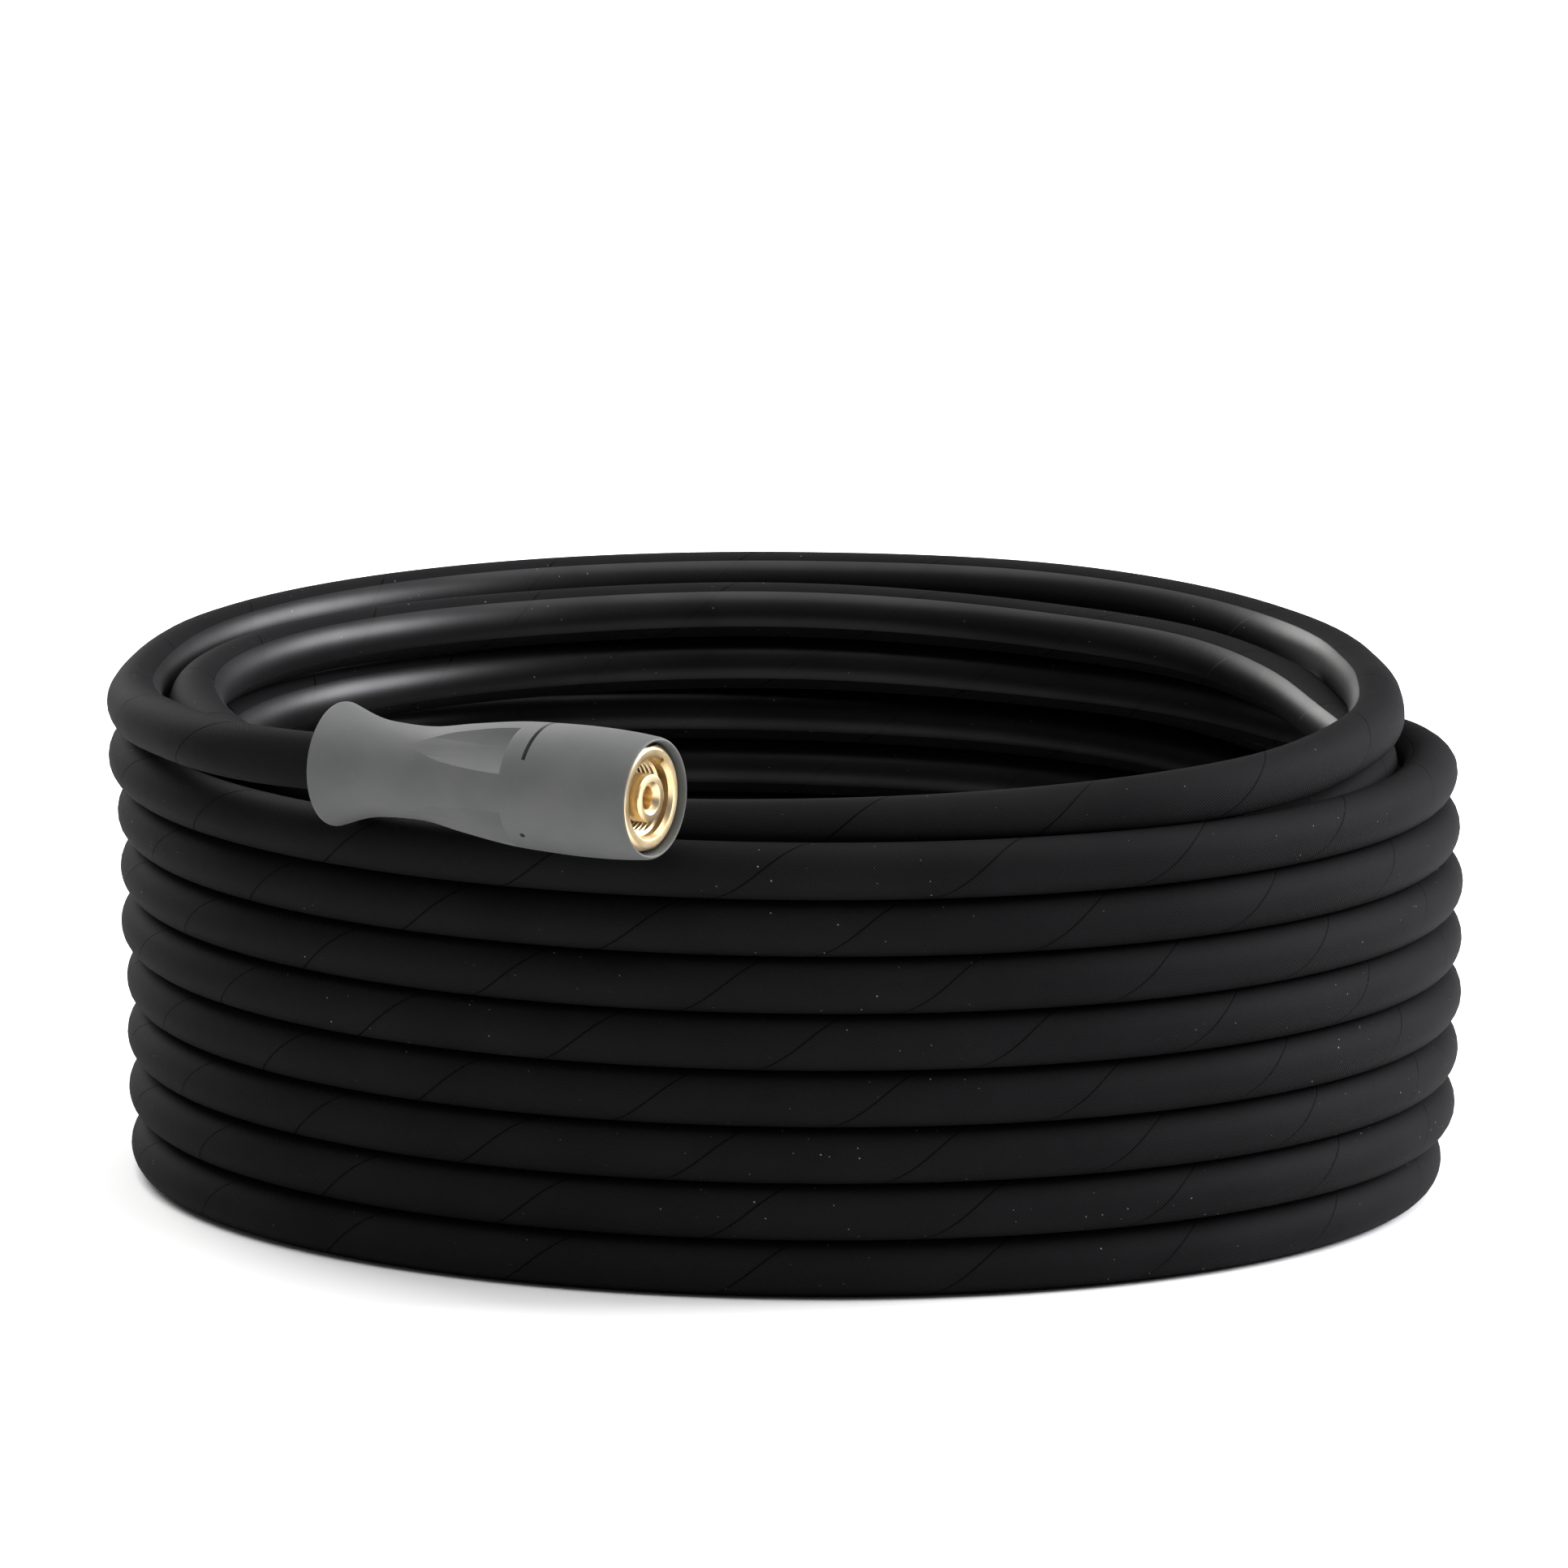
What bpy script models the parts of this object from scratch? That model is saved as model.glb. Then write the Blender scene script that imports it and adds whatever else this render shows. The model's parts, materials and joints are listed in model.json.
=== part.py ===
# Pressure washer hose, laid down as a loose coil, with a swivel screw fitting on each end.
# Metres, +Z up. The coil's axis stands upright, and the photo's side is -Y.
import math

import bmesh
import bpy
from mathutils import Matrix, Vector

MM = 0.001

# Hose and coil
HOSE_D = 16.2 * MM
TURN_GAP = 0.4 * MM
COIL_R = 191.5 * MM
STACK_TURNS = 8
FLOOR_TURNS = 2
FOOT_HALF = 2.5 * MM
WEB_HALF = 4.0 * MM
COIL_STEPS = 40
TUBE_STEP = 2.4 * HOSE_D

# Clearances: between pieces that touch, and around pieces that turn
RUN_GAP = 0.3 * MM
SLEEVE_GAP = 0.5 * MM

# Grip sleeve, measured from its bell end along the axis
BELL_L = 19.0 * MM
WAIST_L = 12.0 * MM
FLUTE_L = 32.0 * MM
BODY_L = 44.0 * MM
BELL_R = 18.0 * MM
WAIST_R = 13.6 * MM
SHOULDER_R = 18.0 * MM
BODY_R = 18.7 * MM
MOUTH_R = 17.5 * MM
RIM_WALL = 1.2 * MM
MOUTH_DEPTH = 9.0 * MM
FLUTES = 4
FLUTE_DEPTH = 2.8 * MM
FLUTE_HOLLOW_R = 60.0 * MM
SLOT_L = 1.8 * MM
SLOT_DEPTH = 3.0 * MM
SLOT_HALF_ANGLE = math.radians(57)
SLOT_SETBACK = 9.0 * MM
PIN_HOLE_D = 1.7 * MM
PIN_HOLE_ANGLE = math.radians(221)

# Swivel nut, with an M22 thread inside
NUT_AF = 27.0 * MM
NUT_CORNER_R = 15.0 * MM
NUT_L = 26.6 * MM
NUT_RECESS = 1.4 * MM
NUT_FLOOR = 4.0 * MM
NUT_CHAMFER = 1.0 * MM
THREAD_R = 10.2 * MM
THREAD_MOUTH_R = 11.0 * MM

# Nipple that the nut turns on
NIPPLE_R = 7.0 * MM
NIPPLE_BORE_R = 3.1 * MM
NIPPLE_CHAMFER = 1.0 * MM
NECK_R = 6.1 * MM
COLLAR_R = 9.0 * MM
COLLAR_L = 4.0 * MM
HEEL_R = 7.6 * MM
HEEL_L = 1.5 * MM

# Crimped ferrule over the hose's end
FERRULE_L = 34.0 * MM
FERRULE_WALL = 2.1 * MM
FERRULE_LIP = 2.0 * MM
FERRULE_CHAMFER = 1.0 * MM
FERRULE_TO_NUT = 4.9 * MM

TURN_STEPS = 24

# Worked out from the sizes above
HOSE_R = HOSE_D / 2
PITCH = HOSE_D + TURN_GAP
TOP_TURN_Z = HOSE_R + (STACK_TURNS - 1) * PITCH
INNER_TURN_R = COIL_R - FLOOR_TURNS * PITCH
SLEEVE_L = BELL_L + WAIST_L + FLUTE_L + BODY_L
SHOULDER_AT = BELL_L + WAIST_L + FLUTE_L
NUT_FRONT = SLEEVE_L - NUT_RECESS
NUT_BACK = NUT_FRONT - NUT_L
FERRULE_END = NUT_BACK - FERRULE_TO_NUT
FERRULE_START = FERRULE_END - FERRULE_L
FERRULE_R = HOSE_R + RUN_GAP + FERRULE_WALL
HEEL_FRONT = FERRULE_END - FERRULE_LIP - RUN_GAP
HOSE_END = HEEL_FRONT - HEEL_L - RUN_GAP

# Where each fitting lies. Angle is round the coil's axis from +X, out and up are in hose
# diameters from the stack's top turn, or for the inner end from the innermost floor turn.
OUTER_END = {"angle": 230.6, "out": 0.84, "up": 1.475, "heading": -31.4, "tilt": 0.3}
INNER_END = {"angle": -180.0, "out": -5.46, "heading": 90.0, "tilt": 0.0}
STRAIGHT_LEAD = 25.0 * MM

# The loose turns on top of the stack, from the outer fitting to where the hose joins the stack:
# angle, hose diameters out from the stack's radius, hose diameters up from its top turn.
TOP_ROUTE = [
    (205, 0.77, 1.37), (192, 0.35, 1.18), (180, 0.18, 1.07), (157, 0.07, 1.25), (135, 0.02, 1.35),
    (90, 0, 1.44), (60, -0.07, 1.43), (33, -0.26, 1.25), (15, -0.82, 1.19), (0, -1.1, 1.3),
    (-20, -0.9, 1.14), (-45, -0.46, 0.98), (-66, -0.64, 0.8), (-90, -0.86, 0.63),
    (-110, -0.96, 0.51), (-130, -1.09, 0.42), (-150, -1.06, 0.63), (-180, -0.91, 0.94),
    (-203, -1.07, 1.02), (-225, -1.22, 1.03), (-240, -1.3, 1.03), (-270, -1.36, 1.06),
    (-297, -1.42, 0.92), (-320, -1.55, 0.72), (-332, -1.62, 0.5), (-345, -1.54, 0.4),
    (-360, -1.28, 0.21), (-375, -1.19, 0.1), (-390, -1.12, -0.04), (-420, -1.07, -0.3),
    (-450, -1.07, -0.42), (-490, -1.07, -0.6), (-540, -1.07, -0.12), (-585, -1.07, -0.07),
    (-630, -1.07, 0.01), (-660, -1.07, -0.07),
]

# The inner end, from the innermost floor turn to the inner fitting, in the same terms.
TAIL_ROUTE = [
    (30, -1.07, 0.0), (0, -1.07, 0.0), (-22.5, -1.28, 0.0), (-46, -1.92, 0.03),
    (-71, -2.88, 0.12), (-100, -4.02, 0.33), (-134, -4.97, 0.55),
]

RUBBER = ((0.012, 0.011, 0.011), 0.6, 0.0)
GRIP_GREY = ((0.16, 0.165, 0.16), 0.65, 0.0)
BRASS = ((0.72, 0.50, 0.20), 0.3, 1.0)
STEEL = ((0.42, 0.42, 0.40), 0.35, 1.0)


def clear_scene():
    for old in list(bpy.data.objects):
        bpy.data.objects.remove(old, do_unlink=True)


def new_collection(name):
    group = bpy.data.collections.new(name)
    bpy.context.scene.collection.children.link(group)
    return group


def new_material(name, look):
    colour, roughness, metallic = look
    mat = bpy.data.materials.new(name)
    mat.use_nodes = True
    shader = mat.node_tree.nodes["Principled BSDF"]
    shader.inputs["Base Color"].default_value = (*colour, 1.0)
    shader.inputs["Roughness"].default_value = roughness
    shader.inputs["Metallic"].default_value = metallic
    return mat


def new_empty(name, group, parent=None):
    empty = bpy.data.objects.new(name, None)
    empty.parent = parent
    group.objects.link(empty)
    return empty


def add_object(name, data, group, parent, mat=None):
    obj = bpy.data.objects.new(name, data)
    obj.parent = parent
    group.objects.link(obj)
    if mat:
        data.materials.append(mat)
    return obj


# Turned pieces: a closed outline of (radius, height), down the outer side and up the inner one.
def turned(name, outline, steps, group, parent, mat=None):
    mesh = bpy.data.meshes.new(name)
    count = len(outline)
    edges = [(i, (i + 1) % count) for i in range(count)]
    mesh.from_pydata([(radius, 0.0, height) for radius, height in outline], edges, [])
    obj = add_object(name, mesh, group, parent, mat)
    screw = obj.modifiers.new("turn", "SCREW")
    screw.angle = math.tau
    screw.steps = steps
    screw.render_steps = steps
    screw.use_merge_vertices = True
    screw.merge_threshold = 0.00001
    screw.use_smooth_shade = True
    return obj


def as_cutter(obj):
    obj.hide_render = True
    obj.display_type = "WIRE"
    return obj


def add_boolean(obj, tool, operation="DIFFERENCE"):
    cut = obj.modifiers.new(tool.name, "BOOLEAN")
    cut.operation = operation
    cut.solver = "EXACT"
    cut.object = tool


def cylinder_cutter(name, radius, length, sides, group, parent, place):
    bpy.ops.mesh.primitive_cylinder_add(vertices=sides, radius=radius, depth=length)
    obj = bpy.context.active_object
    obj.name = name
    for holder in list(obj.users_collection):
        holder.objects.unlink(obj)
    group.objects.link(obj)
    obj.parent = parent
    obj.matrix_local = place
    return as_cutter(obj)


# A smooth curve through hand-chosen points, with three-point slopes at each of them.
def smooth_value(xs, ys, x):
    last = len(xs) - 1
    i = 0
    while i < last - 1 and x > xs[i + 1]:
        i += 1
    rise = [(ys[k + 1] - ys[k]) / (xs[k + 1] - xs[k]) for k in range(last)]

    def slope(k):
        if k == 0:
            return rise[0]
        if k == last:
            return rise[-1]
        before = xs[k] - xs[k - 1]
        after = xs[k + 1] - xs[k]
        return (after * rise[k - 1] + before * rise[k]) / (before + after)

    span = xs[i + 1] - xs[i]
    u = (x - xs[i]) / span
    start = (1 + 2 * u) * (1 - u) ** 2 * ys[i] + u * (1 - u) ** 2 * span * slope(i)
    end = u * u * (3 - 2 * u) * ys[i + 1] - u * u * (1 - u) * span * slope(i + 1)
    return start + end


def from_polar(angle, radius, height):
    turn = math.radians(angle)
    return Vector((radius * math.cos(turn), radius * math.sin(turn), height))


# Angle in degrees, radius and height of a point, with the angle nearest to a given one.
def to_polar(point, near):
    angle = math.degrees(math.atan2(point.y, point.x))
    angle += 360 * round((near - angle) / 360)
    return angle, math.hypot(point.x, point.y), point.z


# Controls are (angle, radius, height) with falling angles. The curve is read about every
# degree, between the controls with the two given places in the list.
def round_route(controls, first, last):
    xs = [-control[0] for control in controls]
    radii = [control[1] for control in controls]
    heights = [control[2] for control in controls]
    points = []
    span = xs[last] - xs[first]
    count = math.ceil(span)
    for k in range(count + 1):
        x = xs[first] + span * k / count
        points.append(from_polar(-x, smooth_value(xs, radii, x), smooth_value(xs, heights, x)))
    return points


# The same way read again at even steps, as few as keep within the step length.
def even_points(points, step):
    reach = [0.0]
    for a, b in zip(points, points[1:]):
        reach.append(reach[-1] + (b - a).length)
    count = math.ceil(reach[-1] / step)
    result = []
    i = 0
    for k in range(count + 1):
        along = reach[-1] * k / count
        while i < len(points) - 2 and reach[i + 1] < along:
            i += 1
        part = (along - reach[i]) / (reach[i + 1] - reach[i])
        result.append(points[i].lerp(points[i + 1], min(1.0, part)))
    return result


def fitting_place(end, radius, height):
    turn = math.radians(end["heading"])
    tilt = math.radians(end["tilt"])
    flat = math.cos(tilt)
    axis = Vector((flat * math.cos(turn), flat * math.sin(turn), math.sin(tilt)))
    spot = from_polar(end["angle"], radius, height)
    return Matrix.Translation(spot) @ axis.to_track_quat("Z", "Y").to_matrix().to_4x4()


def outer_place():
    radius = COIL_R + OUTER_END["out"] * HOSE_D
    return fitting_place(OUTER_END, radius, TOP_TURN_Z + OUTER_END["up"] * HOSE_D)


# The inner fitting lies on the floor, on its widest part.
def inner_place():
    radius = INNER_TURN_R + INNER_END["out"] * HOSE_D
    return fitting_place(INNER_END, radius, BODY_R + RUN_GAP)


def tube(name, points, group, parent, mat):
    curve = bpy.data.curves.new(name, "CURVE")
    curve.dimensions = "3D"
    curve.bevel_depth = HOSE_R
    curve.bevel_resolution = 3
    curve.use_fill_caps = True
    spline = curve.splines.new("POLY")
    spline.points.add(len(points) - 1)
    for spot, point in zip(spline.points, points):
        spot.co = (*point, 1.0)
    spline.use_smooth = True
    return add_object(name, curve, group, parent, mat)


def hose_top(group, parent, mat):
    place = outer_place()
    mouth, lead, behind = (
        to_polar(place @ Vector((0, 0, along)), OUTER_END["angle"])
        for along in (0.0, -STRAIGHT_LEAD, STRAIGHT_LEAD)
    )
    controls = [behind, mouth, lead]
    for angle, out, up in TOP_ROUTE:
        controls.append((angle, COIL_R + out * HOSE_D, TOP_TURN_Z + up * HOSE_D))
    way = [place @ Vector((0, 0, HOSE_END))] + round_route(controls, 1, len(controls) - 1)
    return tube("hose_top", even_points(way, TUBE_STEP), group, parent, mat)


def hose_tail(group, parent, mat):
    place = inner_place()
    lead, mouth, behind = (
        to_polar(place @ Vector((0, 0, along)), INNER_END["angle"])
        for along in (-STRAIGHT_LEAD, 0.0, STRAIGHT_LEAD)
    )
    controls = [
        (angle, INNER_TURN_R + out * HOSE_D, HOSE_R + up * HOSE_D) for angle, out, up in TAIL_ROUTE
    ]
    controls += [lead, mouth, behind]
    way = round_route(controls, 0, len(controls) - 2) + [place @ Vector((0, 0, HOSE_END))]
    return tube("hose_tail", even_points(way, TUBE_STEP), group, parent, mat)


# One turn's corner at an angle round its own middle, for an eight-sided turn.
def turn_corner(radius, height, degrees):
    angle = math.radians(degrees)
    return radius + HOSE_R * math.cos(angle), height + HOSE_R * math.sin(angle)


# The stack of turns as one ring, joined by webs. Its lowest turn stands on the floor.
def stack_outline():
    heights = [TOP_TURN_Z - k * PITCH for k in range(STACK_TURNS)]
    outline = [turn_corner(COIL_R, TOP_TURN_Z, 90)]
    for height in heights[:-1]:
        outline += [turn_corner(COIL_R, height, degrees) for degrees in (45, 0, -45)]
        outline.append((COIL_R + WEB_HALF, height - PITCH / 2))
    outline += [turn_corner(COIL_R, HOSE_R, degrees) for degrees in (45, 0, -45)]
    outline += [(COIL_R + FOOT_HALF, 0.0), (COIL_R - FOOT_HALF, 0.0)]
    outline += [turn_corner(COIL_R, HOSE_R, degrees) for degrees in (-135, 180, 135)]
    for height in heights[-2::-1]:
        outline.append((COIL_R - WEB_HALF, height - PITCH / 2))
        outline += [turn_corner(COIL_R, height, degrees) for degrees in (-135, 180, 135)]
    return outline


# The turns that lie side by side on the floor, inside the stack's lowest turn.
def floor_outline():
    radii = [COIL_R - (k + 1) * PITCH for k in range(FLOOR_TURNS)]
    outline = [turn_corner(radii[0], HOSE_R, degrees) for degrees in (90, 45, 0, -45)]
    for radius in radii:
        if radius != radii[0]:
            outline.append((radius + PITCH / 2, HOSE_R - WEB_HALF))
            outline.append(turn_corner(radius, HOSE_R, -45))
        outline += [(radius + FOOT_HALF, 0.0), (radius - FOOT_HALF, 0.0)]
        outline.append(turn_corner(radius, HOSE_R, -135))
    outline.append(turn_corner(radii[-1], HOSE_R, 180))
    for radius in radii[:0:-1]:
        outline += [turn_corner(radius, HOSE_R, degrees) for degrees in (135, 90, 45)]
        outline.append((radius + PITCH / 2, HOSE_R + WEB_HALF))
    outline.append(turn_corner(radii[0], HOSE_R, 135))
    return outline


# Outer and inner outline of the sleeve, from the nut's end to the bell and back.
def sleeve_outline():
    pocket_r = FERRULE_R + SLEEVE_GAP
    throat_r = HOSE_R + SLEEVE_GAP
    waist_end = BELL_L + WAIST_L
    flare_r = BELL_R - WAIST_R
    outer = [
        (MOUTH_R, SLEEVE_L),
        ((MOUTH_R + BODY_R) / 2, SLEEVE_L - BODY_L * 0.14),
        (BODY_R, SLEEVE_L - BODY_L * 0.5),
        (SHOULDER_R, SHOULDER_AT),
        ((SHOULDER_R + WAIST_R) / 2, waist_end + FLUTE_L * 0.45),
        (WAIST_R, waist_end),
        (WAIST_R + flare_r * 0.02, BELL_L),
        (WAIST_R + flare_r * 0.12, BELL_L * 0.73),
        (WAIST_R + flare_r * 0.40, BELL_L * 0.45),
        (WAIST_R + flare_r * 0.76, BELL_L * 0.2),
        (BELL_R, 0.0),
    ]
    inner = [
        (BELL_R - RIM_WALL, 0.0),
        ((BELL_R - RIM_WALL + throat_r) / 2, BELL_L * 0.45),
        (throat_r, BELL_L),
        (throat_r, FERRULE_START - 2 * SLEEVE_GAP),
        (pocket_r, FERRULE_START - SLEEVE_GAP),
        (pocket_r, SLEEVE_L - MOUTH_DEPTH),
        (MOUTH_R - RIM_WALL, SLEEVE_L - MOUTH_DEPTH),
        (MOUTH_R - RIM_WALL, SLEEVE_L),
    ]
    return outer + inner


# A flat ring sector on the sleeve's upper side, as thick as the slot is long.
def slot_cutter(name, group, parent):
    curve = bpy.data.curves.new(name, "CURVE")
    curve.dimensions = "2D"
    curve.fill_mode = "BOTH"
    curve.extrude = SLOT_L / 2
    outside = BODY_R + SLOT_DEPTH
    inside = BODY_R - SLOT_DEPTH
    arc = [math.pi / 2 + SLOT_HALF_ANGLE * k / 6 for k in range(-6, 7)]
    corners = [(outside, angle) for angle in arc] + [(inside, angle) for angle in arc[::-1]]
    spline = curve.splines.new("POLY")
    spline.points.add(len(corners) - 1)
    for spot, (radius, angle) in zip(spline.points, corners):
        spot.co = (radius * math.cos(angle), radius * math.sin(angle), 0.0, 1.0)
    spline.use_cyclic_u = True
    guide = bpy.data.objects.new(name, curve)
    bpy.context.scene.collection.objects.link(guide)
    bpy.context.view_layer.update()
    mesh = bpy.data.meshes.new_from_object(guide.evaluated_get(bpy.context.evaluated_depsgraph_get()))
    bpy.data.objects.remove(guide, do_unlink=True)
    welded = bmesh.new()
    welded.from_mesh(mesh)
    bmesh.ops.remove_doubles(welded, verts=welded.verts, dist=0.00001)
    bmesh.ops.recalc_face_normals(welded, faces=welded.faces)
    welded.to_mesh(mesh)
    welded.free()
    obj = add_object(name, mesh, group, parent)
    obj.location = (0, 0, SHOULDER_AT + SLOT_SETBACK)
    return as_cutter(obj)


def make_sleeve(tag, group, cutters, parent, mat):
    sleeve = turned("grip_sleeve_" + tag, sleeve_outline(), TURN_STEPS, group, parent, mat)
    flute_rise = math.atan2(SHOULDER_R - FLUTE_DEPTH - WAIST_R, FLUTE_L)
    for k in range(FLUTES):
        turn = Matrix.Rotation(math.tau * (k + 0.5) / FLUTES, 4, "Z")
        foot = Matrix.Translation((SHOULDER_R - FLUTE_DEPTH, 0, SHOULDER_AT))
        lean = Matrix.Rotation(flute_rise, 4, "Y")
        shift = Matrix.Translation((FLUTE_HOLLOW_R, 0, -FLUTE_L / 2))
        place = turn @ foot @ lean @ shift
        name = "flute_cut_{}_{}".format(tag, k + 1)
        sides = 72
        add_boolean(sleeve, cylinder_cutter(name, FLUTE_HOLLOW_R, FLUTE_L, sides, cutters, parent, place))
    hex_r = (NUT_AF / 2 + RUN_GAP) / math.cos(math.pi / 6)
    hex_l = SLEEVE_L - NUT_BACK + RUN_GAP
    place = Matrix.Translation((0, 0, NUT_BACK - RUN_GAP + hex_l / 2))
    place = place @ Matrix.Rotation(math.pi / 6, 4, "Z")
    add_boolean(sleeve, cylinder_cutter("hex_cut_" + tag, hex_r, hex_l, 6, cutters, parent, place))
    add_boolean(sleeve, slot_cutter("slot_cut_" + tag, cutters, parent))
    turn = Matrix.Rotation(PIN_HOLE_ANGLE, 4, "Z")
    out = Matrix.Translation((BODY_R, 0, SHOULDER_AT + SLOT_SETBACK))
    place = turn @ out @ Matrix.Rotation(math.pi / 2, 4, "Y")
    hole = cylinder_cutter("pin_cut_" + tag, PIN_HOLE_D / 2, BODY_R, 8, cutters, parent, place)
    add_boolean(sleeve, hole)
    return sleeve


def make_nut(tag, group, cutters, parent, mat):
    hex_r = NUT_AF / 2 / math.cos(math.pi / 6)
    outside = [
        (NUT_CORNER_R - NUT_CHAMFER, NUT_FRONT), (NUT_CORNER_R, NUT_FRONT - NUT_CHAMFER),
        (NUT_CORNER_R, NUT_BACK + NUT_CHAMFER), (NUT_CORNER_R - NUT_CHAMFER, NUT_BACK),
        (NECK_R + RUN_GAP, NUT_BACK), (NECK_R + RUN_GAP, NUT_BACK + NUT_FLOOR),
        (THREAD_R, NUT_BACK + NUT_FLOOR), (THREAD_R, NUT_FRONT - NUT_CHAMFER),
        (THREAD_MOUTH_R, NUT_FRONT),
    ]
    nut = turned("swivel_nut_" + tag, outside, TURN_STEPS, group, parent, mat)
    place = Matrix.Translation((0, 0, (NUT_FRONT + NUT_BACK) / 2)) @ Matrix.Rotation(math.pi / 6, 4, "Z")
    six = cylinder_cutter("nut_hex_" + tag, hex_r, NUT_L * 2, 6, cutters, parent, place)
    add_boolean(nut, six, "INTERSECT")
    return nut


def make_nipple(tag, group, parent, mat):
    collar_back = NUT_BACK + NUT_FLOOR + RUN_GAP
    outline = [
        (NIPPLE_R - NIPPLE_CHAMFER, NUT_FRONT), (NIPPLE_R, NUT_FRONT - NIPPLE_CHAMFER),
        (NIPPLE_R, collar_back + COLLAR_L), (COLLAR_R, collar_back + COLLAR_L),
        (COLLAR_R, collar_back), (NECK_R, collar_back),
        (NECK_R, HEEL_FRONT), (HEEL_R, HEEL_FRONT),
        (HEEL_R, HEEL_FRONT - HEEL_L), (NIPPLE_BORE_R, HEEL_FRONT - HEEL_L),
        (NIPPLE_BORE_R, NUT_FRONT),
    ]
    return turned("nipple_" + tag, outline, TURN_STEPS, group, parent, mat)


def make_ferrule(tag, group, parent, mat):
    inner_r = HOSE_R + RUN_GAP
    outline = [
        (FERRULE_R - FERRULE_CHAMFER, FERRULE_END), (FERRULE_R, FERRULE_END - FERRULE_CHAMFER),
        (FERRULE_R, FERRULE_START + FERRULE_CHAMFER), (FERRULE_R - FERRULE_CHAMFER, FERRULE_START),
        (inner_r, FERRULE_START), (inner_r, FERRULE_END - FERRULE_LIP),
        (NECK_R + RUN_GAP, FERRULE_END - FERRULE_LIP), (NECK_R + RUN_GAP, FERRULE_END),
    ]
    return turned("crimp_ferrule_" + tag, outline, TURN_STEPS, group, parent, mat)


def make_fitting(tag, place, group, cutters, parent, mats):
    holder = new_empty("fitting_" + tag, group, parent)
    holder.matrix_local = place
    return [
        make_sleeve(tag, group, cutters, holder, mats["grip"]),
        make_nut(tag, group, cutters, holder, mats["brass"]),
        make_nipple(tag, group, holder, mats["brass"]),
        make_ferrule(tag, group, holder, mats["steel"]),
    ]


# Moves everything so that the middle of the whole object's footprint is over the origin.
def centre_footprint(root, pieces):
    bpy.context.view_layer.update()
    graph = bpy.context.evaluated_depsgraph_get()
    low = Vector((math.inf, math.inf))
    high = Vector((-math.inf, -math.inf))
    for piece in pieces:
        shaped = piece.evaluated_get(graph)
        mesh = shaped.to_mesh()
        for vertex in mesh.vertices:
            spot = shaped.matrix_world @ vertex.co
            low = Vector((min(low.x, spot.x), min(low.y, spot.y)))
            high = Vector((max(high.x, spot.x), max(high.y, spot.y)))
        shaped.to_mesh_clear()
    middle = (low + high) / 2
    root.location = (-middle.x, -middle.y, 0.0)


def build():
    clear_scene()
    group = new_collection("pressure_washer_hose")
    cutters = new_collection("cutters")
    mats = {
        "rubber": new_material("black_rubber", RUBBER),
        "grip": new_material("grey_grip", GRIP_GREY),
        "brass": new_material("brass", BRASS),
        "steel": new_material("zinc_steel", STEEL),
    }
    root = new_empty("coil_axis", group)
    pieces = [
        turned("hose_coil", stack_outline(), COIL_STEPS, group, root, mats["rubber"]),
        turned("hose_floor_turns", floor_outline(), COIL_STEPS, group, root, mats["rubber"]),
        hose_top(group, root, mats["rubber"]),
        hose_tail(group, root, mats["rubber"]),
    ]
    pieces += make_fitting("a", outer_place(), group, cutters, root, mats)
    pieces += make_fitting("b", inner_place(), group, cutters, root, mats)
    centre_footprint(root, pieces)


build()
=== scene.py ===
# A pressure washer hose laid down as a round coil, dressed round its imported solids.
# Metres, +Z up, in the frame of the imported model. The photo's side is -Y.
import json
import math

import bmesh
import bpy
from mathutils import Matrix, Vector


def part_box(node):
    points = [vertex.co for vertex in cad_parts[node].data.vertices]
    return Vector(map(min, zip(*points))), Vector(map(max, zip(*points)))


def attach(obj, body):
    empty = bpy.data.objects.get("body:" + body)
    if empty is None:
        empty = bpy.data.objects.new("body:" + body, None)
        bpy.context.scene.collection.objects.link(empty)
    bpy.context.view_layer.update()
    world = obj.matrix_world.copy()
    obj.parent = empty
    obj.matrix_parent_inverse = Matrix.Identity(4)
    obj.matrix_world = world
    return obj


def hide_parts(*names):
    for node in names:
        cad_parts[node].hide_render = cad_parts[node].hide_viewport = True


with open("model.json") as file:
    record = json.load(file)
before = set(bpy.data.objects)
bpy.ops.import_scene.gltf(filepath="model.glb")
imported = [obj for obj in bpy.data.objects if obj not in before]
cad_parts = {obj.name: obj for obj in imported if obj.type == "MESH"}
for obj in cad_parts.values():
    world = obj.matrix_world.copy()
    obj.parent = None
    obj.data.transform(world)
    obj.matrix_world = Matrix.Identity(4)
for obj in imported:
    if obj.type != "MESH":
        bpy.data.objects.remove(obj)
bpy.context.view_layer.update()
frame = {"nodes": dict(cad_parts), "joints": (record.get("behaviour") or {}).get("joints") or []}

MM = 0.001

# Hose
HOSE_D = 16.2 * MM
HOSE_R = HOSE_D / 2
PITCH = 16.6 * MM
COIL_R = 191.5 * MM
TOP_TURN_Z = HOSE_R + 7 * PITCH
INNER_TURN_R = COIL_R - 2 * PITCH
# A little over the hose's own radius, so that the turns look shut
SKIN_R = 8.28 * MM
HOSE_SIDES = 28
RING_STEP = 9.0 * MM

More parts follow.
